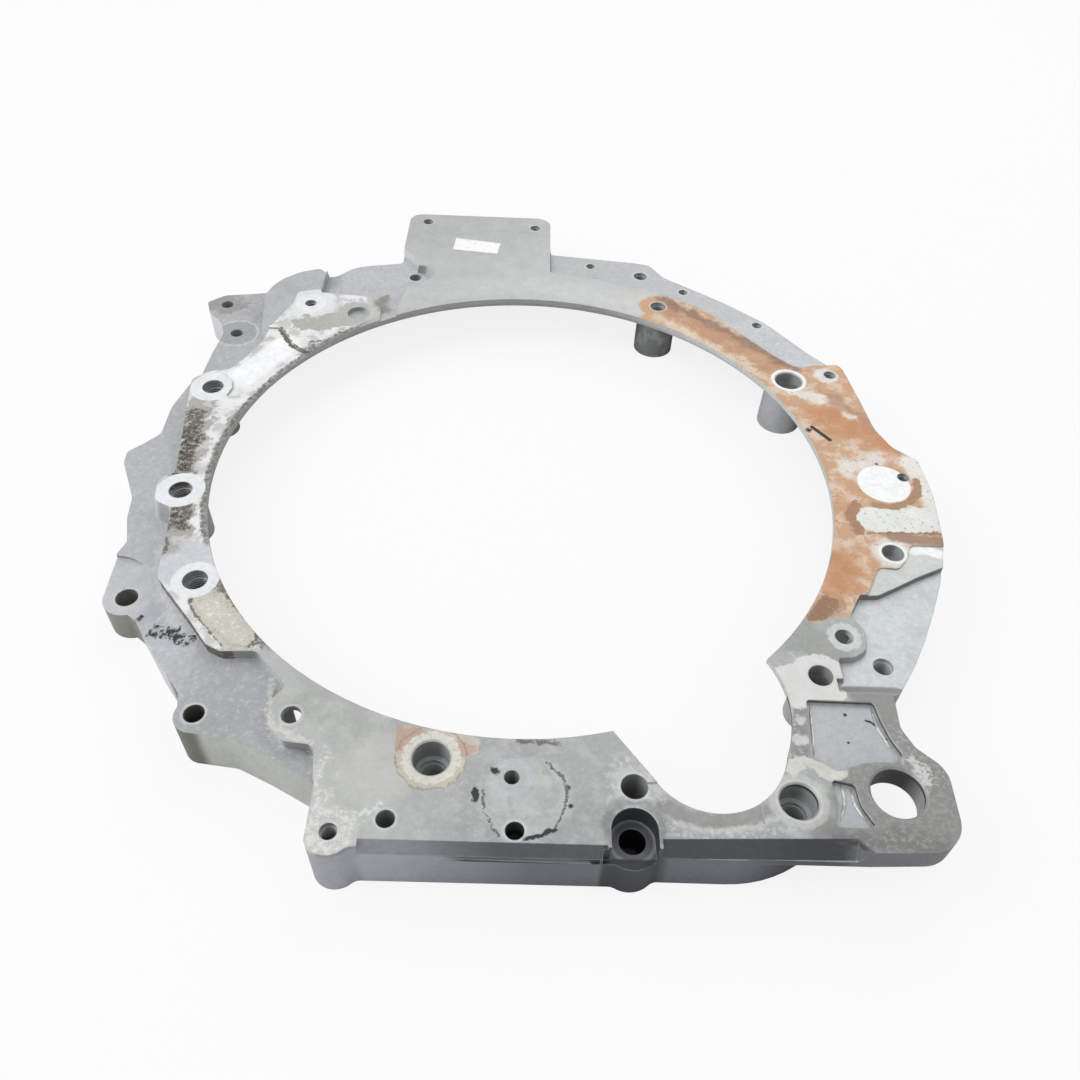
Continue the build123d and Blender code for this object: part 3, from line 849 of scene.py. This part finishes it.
class Surface:
    """The surface of the casting while its stains are laid."""

    TOPS = (0.55, 0.8)  # upward share of the direction, from the last side to the first top

    def __init__(self, tree: ShaderTree, edge_radius: float) -> None:
        """Make the patterns, the bare colour and the rounded edges.

        Args:
            tree: The tree that the nodes go into.
            edge_radius: How far edges look rounded, in metres.
        """
        self.tree = tree
        self.plan = plan = Plan(tree)
        self.upward = plan.up.ease(*self.TOPS)
        self.fine = tree.noise(plan.place, Grain.SPECK, 4.0, 0.8)
        self.patch = tree.noise(plan.place, Grain.PATCH, 4.0, 0.6)
        self.cloud = tree.noise(plan.place, Grain.CLOUD, 3.0, 0.55)
        self.layers = {broken: GroupTree.stain_layer(broken).tree for broken in (False, True)}
        self.bare = tree.blend(self.cloud.ease(0.38, 0.66), tone(193, 196, 197), tone(182, 186, 187))
        self.paint = self.bare
        self.rounded = tree.add("ShaderNodeBevel", {"samples": 2}, {"Radius": edge_radius}).outputs[0]

    def zone(self, facing: Facing, level: Level) -> Wire:
        """The mask of one height range that faces one way.

        Args:
            facing: The way that it faces.
            level: The heights.

        Returns:
            The mask.
        """
        mask = self.upward if facing is Facing.UP else 1.0 - self.upward
        (low, high), (lowest, highest) = level.value, Level.ALL.value
        if low > lowest:
            mask = mask & self.plan.z.step(low)
        return mask & self.plan.z.step(high, -0.1) if high < highest else mask

    def lay(self, stain: Stain) -> Wire:
        """Lay one stain over the colour so far.

        Args:
            stain: The stain.

        Returns:
            Where it shows.
        """
        mask = stain.marks[0].mask(self.plan)
        for mark in stain.marks[1:]:
            mask = mask | mark.mask(self.plan)
        for mark in stain.within:
            mask = mask & mark.mask(self.plan)
        broken = stain.breakup is not Breakup.SOLID
        pattern = (self.fine if stain.breakup is Breakup.SPECKLED else self.patch) * 2.0
        sockets = {
            "Base": self.paint, "Top": stain.colour, "Mask": mask, "Density": stain.density,
            "Share": stain.share, "Pattern": pattern, "Zone": self.zone(stain.facing, stain.level),
        }
        layer = self.tree.add("ShaderNodeGroup", {"node_tree": self.layers[broken]}, sockets)
        self.paint = Paint(self.tree, layer.outputs["Colour"])
        return Wire(self.tree, layer.outputs["Shown"])


@dataclass(frozen=True)
class CastAluminium:
    """The finish of the whole casting: bare metal, milled lands, stains, dirt, wear, and painted light and shade.

    Attributes:
        land: Colour of the machined lands at the front.
        wall: Colour of the steep sides.
        lit_wall: Painted light: the brighter colour of the sides that face left, as if lit from the left.
        pit: Colour of the pits.
        fleck: Colour of the bright flecks and the worn edges.
        edge_radius: How far edges look rounded, in metres.
        metallic: Share of bare metal in the surface.
        roughness: Roughness of the smoothest metal.
        chalk: How much less metallic and how much rougher chalk makes it.
        copper: The same two numbers for the copper stain.
        relief: Strength and depth, in metres, of the small bumps.
    """

    land: Colour = tone(171, 174, 173)
    wall: Colour = tone(158, 160, 160)
    lit_wall: Colour = tone(214, 216, 217)
    pit: Colour = tone(88, 87, 83)
    fleck: Colour = tone(226, 227, 225)
    edge_radius: float = 0.0009
    metallic: float = 0.5
    roughness: float = 0.46
    chalk: Point = (0.35, 0.15)
    copper: Point = (0.2, 0.08)
    relief: Point = (0.45, 0.0005)

    def build(self) -> Material:
        """Make the material."""
        tree = MaterialTree("cast_aluminium_worn")
        surface = Surface(tree, self.edge_radius)
        plan = surface.plan
        ground = Stain(self.land, (ANYWHERE,), level=Level.LAND)
        lands = (ground, *LAND_STAINS, *LEFT_STAINS_AND_SHADOW, *COPPER_STAINS, *LOOSE_SPOTS, *FRONT_STAINS, self._worn_holes())
        fields = (LEFT_LAND, MIDDLE_LAND, RIGHT_LAND, LUG_LAND)
        skin = self._shader(surface, SKIN, (*SKIN_STAINS_AND_HIGHLIGHT, *lands, *SEAT_STAINS_AND_SHADE))
        left, middle, right, lug = (self._shader(surface, field, lands) for field in fields)
        plain = Stain(self.wall, (ANYWHERE,), level=Level.ALL, facing=STEEP)
        sides = self._shader(surface, SIDES, (plain, *FRONT_WALL_STAINS_AND_SHADE, *SIDE_STAINS_LIGHT_AND_SHADE))

        left = tree.mixed(plan.x.step(LEFT_END), left, middle)
        right = tree.mixed(plan.y.step(LUG_END), lug, right)
        land = tree.mixed(plan.x.step(RIGHT_START), left, right)
        up = tree.mixed(plan.z.step(LAND_FOOT, 0.05), skin, land)
        return tree.finish(tree.mixed(surface.upward, sides, up))

    def _shader(self, surface: Surface, field: Field, stains: Sequence[Stain]) -> Node:
        """Make the shader of one field of the casting.

        Args:
            surface: The surface, with its patterns.
            field: The field.
            stains: All stains that may show in it, in their order.

        Returns:
            The shader.
        """
        tree = surface.tree
        surface.paint = surface.bare
        chalky = coppery = 0.0
        for stain in filter(field.needs, stains):
            shown = surface.lay(stain)
            if stain is LEFT_STAINS_AND_SHADOW[0]:
                chalky = shown
            elif stain is COPPER_STAINS[0]:
                coppery = shown
            elif stain.colour == self.wall:
                # Painted light: sides that face left get a brighter colour, as if lit from the left
                lit = surface.zone(STEEP, Level.ALL) & surface.plan.right.ease(-0.2, -0.8)
                surface.paint = surface.paint.under(self.lit_wall, lit)
        self._wear(surface)
        shade = surface.fine * 0.5 + surface.patch * 0.3 + surface.cloud * 0.16 + 0.52
        height = surface.fine * 0.2 + surface.patch * 0.5
        strength, depth = self.relief
        relief = {"Strength": strength, "Distance": depth, "Height": height, "Normal": surface.rounded}
        bump = tree.add("ShaderNodeBump", {}, relief)
        sockets = {
            "Base Color": tree.scaled(surface.paint, shade),
            "Metallic": self.metallic - chalky * self.chalk[0] - coppery * self.copper[0],
            "Roughness": self.roughness + surface.patch * 0.12 + chalky * self.chalk[1] + coppery * self.copper[1],
            "Normal": bump.outputs[0],
        }
        return tree.add("ShaderNodeBsdfPrincipled", {}, sockets)

    def _wear(self, surface: Surface) -> None:
        """Add pits, bright flecks and worn edges.

        Args:
            surface: The surface with all its stains.
        """
        tree = surface.tree
        geometry = tree.add("ShaderNodeNewGeometry", {}, {})
        turned = Wire(tree, tree.vector("DOT_PRODUCT", surface.rounded, geometry.outputs["Normal"]).outputs[1])
        pits = (surface.fine.ease(0.33, 0.24) & surface.patch.ease(0.42, 0.56)) * 0.45
        flecks = surface.fine.ease(0.68, 0.76) * 0.35
        worn = turned.ease(0.99, 0.9) * surface.patch.ease(0.2, 0.6) * 0.5
        surface.paint = surface.paint.under(self.pit, pits).under(self.fleck, flecks | worn)

    def rim(self) -> Material:
        """Make the brighter metal of the raised rims in the lug's pockets."""
        tree = MaterialTree("rim_metal")
        worn = tree.noise(Plan(tree).place, Grain.RAGGED)
        colour = tree.blend(worn.ease(0.4, 0.62), tone(222, 223, 220), tone(176, 177, 173))
        sockets = {"Base Color": colour, "Metallic": self.metallic, "Roughness": 0.4 + worn * 0.2}
        return tree.finish(tree.add("ShaderNodeBsdfPrincipled", {}, sockets))

    @staticmethod
    def _worn_holes() -> Stain:
        """Thin light rings round the holes whose edges are worn bright."""
        rings = tuple(Disc(x, y, radius + 1.3, 0.8, inner=radius + 0.2) for x, y, radius in WORN_HOLES)
        return Stain(tone(208, 210, 209), rings, level=Level.ALL, share=0.6)


def new_piece(name: str, mesh: bpy.types.Mesh, material: Material) -> bpy.types.Object:
    """Make an object of a mesh and let it ride on the casting.

    Args:
        name: Name of the piece.
        mesh: Its mesh.
        material: Its material.

    Returns:
        The object.
    """
    piece = bpy.data.objects.new(name, mesh)
    bpy.context.scene.collection.objects.link(piece)
    mesh.materials.append(material)
    for polygon in mesh.polygons:
        polygon.use_smooth = True
    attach(piece, BODY)
    log.info("%s: %d faces", name, len(mesh.polygons))
    return piece


def closed_mesh(name: str, shape: bmesh.types.BMesh) -> bpy.types.Mesh:
    """Turn a closed shape into a mesh, with its faces outwards.

    Args:
        name: Name of the mesh.
        shape: The shape, which is freed.

    Returns:
        The mesh.
    """
    bmesh.ops.recalc_face_normals(shape, faces=shape.faces)
    mesh = bpy.data.meshes.new(name)
    shape.to_mesh(mesh)
    shape.free()
    return mesh


def sweep(name: str, rings: Sequence[Sequence[Vector]]) -> bpy.types.Mesh:
    """Skin a closed tube over a row of outlines.

    Args:
        name: Name of the mesh.
        rings: The outlines, each with the same number of points.

    Returns:
        The mesh, closed at both ends.
    """
    shape = bmesh.new()
    rows = [[shape.verts.new(point) for point in ring] for ring in rings]
    count = len(rows[0])
    for low, high in zip(rows, rows[1:]):
        for i in range(count):
            j = (i + 1) % count
            shape.faces.new((low[i], low[j], high[j], high[i]))
    shape.faces.new(tuple(reversed(rows[0])))
    shape.faces.new(tuple(rows[-1]))
    return closed_mesh(name, shape)


@dataclass
class Thread:
    """The ridge that winds down the wall of a tapped hole.

    Attributes:
        name: Name of the piece.
        centre: Axis of the hole in plan, in millimetres.
        radius: Radius of the drilled wall.
        top: Height of its first turn.
        bottom: Height of its last turn.
        pitch: Rise of one turn.
        steps: Outlines per turn.
        bury: How far its foot is set into the wall.
    """

    name: str
    centre: Point
    radius: float
    top: float
    bottom: float
    pitch: float
    steps: int = 30
    bury: float = 0.15

    def build(self, material: Material) -> bpy.types.Object:
        """Make the ridge.

        Args:
            material: Its finish.

        Returns:
            The piece.
        """
        turns = (self.top - self.bottom) / self.pitch
        count = int(turns * self.steps)
        depth = 0.5 * self.pitch
        rings = []
        for i in range(count + 1):
            angle = 2 * math.pi * i / self.steps
            height = self.top - self.pitch * i / self.steps
            fade = min(1.0, i / self.steps, (count - i) / self.steps) * 0.95 + 0.05
            foot, crest = self.radius + self.bury, self.radius - depth * fade
            half = 0.47 * self.pitch * fade
            profile = ((foot, half), (crest, 0.1 * half), (crest, -0.1 * half), (foot, -half))
            rings.append([self._at(angle, reach, height + rise) for reach, rise in profile])
        return new_piece(self.name, sweep(self.name, rings), material)

    def _at(self, angle: float, reach: float, height: float) -> Vector:
        """A point in metres from its angle, radius and height in millimetres."""
        x, y = self.centre
        return Vector((x + reach * math.cos(angle), y + reach * math.sin(angle), height)) * MM


@dataclass
class Bead:
    """A thin raised rim at the foot of a pocket wall of the lug.

    Attributes:
        name: Name of the piece.
        points: Points of its middle line in plan, in millimetres.
        floor: Height of the pocket floor.
        radius: Radius of the rim.
        sides: Number of sides of the rim.
        blunt: Share of the radius that is left at the ends.
    """

    name: str
    points: tuple[Point, ...]
    floor: float = -2.5
    radius: float = 0.75
    sides: int = 10
    blunt: float = 0.3

    def build(self, material: Material) -> bpy.types.Object:
        """Make the rim.

        Args:
            material: Its finish.

        Returns:
            The piece.
        """
        line = [Vector((*point, self.floor)) for point in self.points]
        rings = []
        for i, place in enumerate(line):
            ahead = (line[min(i + 1, len(line) - 1)] - line[max(i - 1, 0)]).normalized()
            across = ahead.cross(Vector((0.0, 0.0, 1.0)))
            reach = self.radius * (self.blunt if i in (0, len(line) - 1) else 1.0)
            turns = [2 * math.pi * k / self.sides for k in range(self.sides)]
            around = [across * math.cos(turn) + Vector((0, 0, math.sin(turn))) for turn in turns]
            rings.append([(place + way * reach) * MM for way in around])
        return new_piece(self.name, sweep(self.name, rings), material)


@dataclass
class BlankLabel:
    """The blank white sticker on the rectangular pad, with its corners anticlockwise in plan, in millimetres."""

    corners: tuple[Point, ...] = ((-60.5, 248.9), (-25.8, 244.6), (-23.5, 260.8), (-59.1, 266.1))
    thickness: float = 0.16

    def build(self) -> bpy.types.Object:
        """Make the sticker with its paper finish."""
        shape = bmesh.new()
        columns, rows = 24, 8
        grid = [
            [shape.verts.new(self._place(i / columns, j / rows)) for i in range(columns + 1)]
            for j in range(rows + 1)
        ]
        for low, high in zip(grid, grid[1:]):
            for i in range(columns):
                shape.faces.new((low[i], low[i + 1], high[i + 1], high[i]))
        made = bmesh.ops.extrude_face_region(shape, geom=list(shape.faces))
        lifted = [part for part in made["geom"] if isinstance(part, bmesh.types.BMVert)]
        bmesh.ops.translate(shape, verts=lifted, vec=(0.0, 0.0, -self.thickness * MM * 0.9))
        return new_piece("blank_label", closed_mesh("blank_label", shape), self._paper())

    def _place(self, along: float, across: float) -> Vector:
        """A point of the sticker's top, lifted a little where it has come loose.

        Args:
            along: Share of its length, from 0 to 1.
            across: Share of its width, from 0 to 1.

        Returns:
            The point, in metres.
        """
        a, b, c, d = (Vector((*corner, 0.0)) for corner in self.corners)
        low, high = a.lerp(b, along), d.lerp(c, along)
        lift = 0.10 * math.sin(along * 9.0 + across * 4.0) ** 2
        return (low.lerp(high, across) + Vector((0.0, 0.0, self.thickness + lift))) * MM

    def _paper(self) -> Material:
        """Make the matt white paper with its faint grey wear."""
        tree = MaterialTree("white_paper")
        worn = tree.noise(Plan(tree).place, Grain.RAGGED, 4.0, 0.6)
        colour = tree.blend(worn.ease(0.5, 0.75), tone(246, 247, 246), tone(226, 227, 226))
        bump = tree.add("ShaderNodeBump", {}, {"Strength": 0.2, "Distance": 0.0001, "Height": worn})
        sockets = {"Base Color": colour, "Roughness": 0.5 + worn * 0.2, "Normal": bump.outputs[0]}
        return tree.finish(tree.add("ShaderNodeBsdfPrincipled", {}, sockets))


@dataclass
class Studio:
    """Floor, lamps, surroundings and the camera.

    Attributes:
        camera_place: Place of the camera, in metres.
        camera_rows: Its right, down and forward directions.
        lens: Its focal length, in millimetres on a 36 mm sensor.
        lamps: Name, place, size and power of each lamp.
    """

    camera_place: tuple[float, float, float] = (0.0, -0.42401, 0.39533)
    camera_rows: tuple[Colour, ...] = (
        (0.99930723, 0.01044625, 0.03572031),
        (0.03198688, -0.73169633, -0.68087981),
        (0.01902378, 0.6815507, -0.73152358),
    )
    lens: float = 32.105
    lamps: tuple = field(default_factory=lambda: (
        ("key", (-1.3, -0.15, 1.3), 1.3, 14.0),
        ("back", (0.5, 1.2, 1.3), 1.2, 7.0),
        ("right", (1.4, -0.3, 0.9), 1.0, 2.0),
    ))

    def build(self) -> None:
        """Make the floor, the lamps, the surroundings and the camera."""
        self._floor()
        self._world()
        for name, place, size, power in self.lamps:
            self._lamp(name, Vector(place), size, power)
        self._camera()

    def _floor(self) -> None:
        """A wide pale floor that shows white and keeps a soft shadow."""
        mesh = bpy.data.meshes.new("floor")
        half = 6.0
        square = ((-half, -half), (half, -half), (half, half), (-half, half))
        mesh.from_pydata([(x, y, FLOOR_Z) for x, y in square], [], [(0, 1, 2, 3)])
        floor = bpy.data.objects.new("floor", mesh)
        bpy.context.scene.collection.objects.link(floor)
        tree = MaterialTree("pale_floor")
        diffuse = tree.add("ShaderNodeBsdfDiffuse", {}, {"Color": tone(236, 236, 236)})
        glow = tree.add("ShaderNodeEmission", {}, {"Color": (1.0, 1.0, 1.0), "Strength": 1.0})
        path = tree.add("ShaderNodeLightPath", {}, {})
        seen = Wire(tree, path.outputs["Is Camera Ray"]) * 0.85
        mesh.materials.append(tree.finish(tree.mixed(seen, diffuse, glow)))

    def _world(self) -> None:
        """Even white surroundings."""
        world = bpy.data.worlds.new("studio")
        world.use_nodes = True
        tree = ShaderTree(world.node_tree)
        white = (1.0, 1.0, 1.0)
        sky = tree.add("ShaderNodeBackground", {}, {"Color": white, "Strength": 0.62})
        seen = tree.add("ShaderNodeBackground", {}, {"Color": white, "Strength": 1.0})
        path = tree.add("ShaderNodeLightPath", {}, {}).outputs["Is Camera Ray"]
        tree.add("ShaderNodeOutputWorld", {}, {"Surface": tree.mixed(Wire(tree, path), sky, seen).outputs[0]})
        bpy.context.scene.world = world

    def _lamp(self, name: str, place: Vector, size: float, power: float) -> None:
        """A square soft lamp that points at the plate.

        Args:
            name: Name of the lamp.
            place: Where it hangs, in metres.
            size: Length of its side, in metres.
            power: Its power, in watts.
        """
        data = bpy.data.lights.new(name, "AREA")
        data.energy = power
        data.size = size
        lamp = bpy.data.objects.new(name, data)
        lamp.location = place
        lamp.rotation_mode = "QUATERNION"
        lamp.rotation_quaternion = (-place).to_track_quat("-Z", "Y")
        bpy.context.scene.collection.objects.link(lamp)

    def _camera(self) -> None:
        """The camera at the viewing angle of the photograph."""
        data = bpy.data.cameras.new("camera")
        data.sensor_width = 36.0
        data.lens = self.lens
        data.clip_start = 0.01
        data.clip_end = 50.0
        camera = bpy.data.objects.new("camera", data)
        right, down, ahead = (Vector(row) for row in self.camera_rows)
        turn = Matrix((right, -down, -ahead)).transposed().to_4x4()
        camera.matrix_world = Matrix.Translation(self.camera_place) @ turn
        bpy.context.scene.collection.objects.link(camera)
        bpy.context.scene.camera = camera


def threads() -> list[Thread]:
    """List the tapped holes whose threads show.

    Returns:
        One thread for each of them.
    """
    # Name, place of the axis, radius, top, bottom and pitch, in millimetres
    rows = [
        ("left_1", -202.5, 70.6, 6.7, -4.0, -27.0, 1.75),
        ("left_2", -198.2, -25.0, 6.7, -3.0, -27.0, 1.75),
        ("left_3", -172.8, -92.5, 6.7, -4.0, -27.0, 1.75),
        ("dowel_1", -38.5, -195.0, 6.8, -14.6, -33.0, 1.75),
        ("dowel_2", 129.5, -212.0, 6.8, -14.6, -33.0, 1.75),
        ("dowel_3", 176.3, 98.7, 6.8, -14.6, -33.0, 1.75),
        ("strip", 94.0, 181.0, 5.5, -1.5, -22.0, 1.5),
        ("pocket", 187.4, -133.1, 5.2, -5.0, -24.0, 1.5),
        ("right_edge", 231.0, 6.0, 3.6, -1.0, -16.0, 1.25),
        ("right_small", 205.5, 106.0, 4.0, -1.0, -16.0, 1.25),
        ("upper_left", -156.4, 169.3, 4.0, -1.5, -16.0, 1.25),
        ("front_left", -80.0, -232.5, 4.0, -1.5, -16.0, 1.25),
        ("pad_1", 3.0, 286.0, 4.0, -1.0, -16.0, 1.25),
        ("pad_2", -83.0, 290.0, 4.0, -1.0, -16.0, 1.25),
        ("arc_1", 46.5, 239.5, 3.4, -5.5, -17.0, 1.25),
        ("arc_2", 84.5, 228.0, 5.0, -5.5, -17.0, 1.5),
        ("arc_3", 115.5, 208.0, 3.4, -5.5, -17.0, 1.25),
        ("arc_4", 165.5, 168.0, 3.4, -5.5, -17.0, 1.25),
    ]
    return [Thread(f"thread_{name}", (x, y), *shape) for name, x, y, *shape in rows]


def beads() -> list[Bead]:
    """List the rims in the two pockets of the lug.

    Returns:
        One bead for each side of each pocket.
    """
    lines = {
        "long_left": ((144.6, -158.9), (143.9, -164.0), (143.3, -171.0), (142.4, -179.5), (141.3, -187.0)),
        "long_right": ((174.6, -158.7), (174.6, -166.0), (175.6, -172.5), (177.6, -178.6), (179.8, -184.6)),
        "short_left": ((150.6, -201.6), (151.2, -206.0), (151.1, -210.4), (149.4, -215.4), (147.2, -220.0)),
        "short_right": ((155.0, -204.2), (155.1, -208.4), (155.6, -212.4), (157.2, -216.6), (159.2, -219.8)),
    }
    return [Bead(f"bead_{name}", points) for name, points in lines.items()]


def corners(box: tuple[Vector, Vector]) -> list[list[float]]:
    """Turn a box into plain lists of numbers."""
    return [list(corner) for corner in box]


def main() -> None:
    """Build the finish, the pieces and the studio in order."""
    logging.basicConfig(level=logging.INFO, format="%(message)s")
    bpy.context.scene.view_settings.view_transform = "Standard"
    aluminium = CastAluminium()
    finish = aluminium.build()
    casting = frame["nodes"][NODE]
    casting.data.materials.clear()
    casting.data.materials.append(finish)
    log.info("%s: %d faces", NODE, len(casting.data.polygons))
    for thread in threads():
        thread.build(finish)
    rim = aluminium.rim()
    for bead in beads():
        bead.build(rim)
    BlankLabel().build()
    Studio().build()


if __name__ == "__main__":
    main()
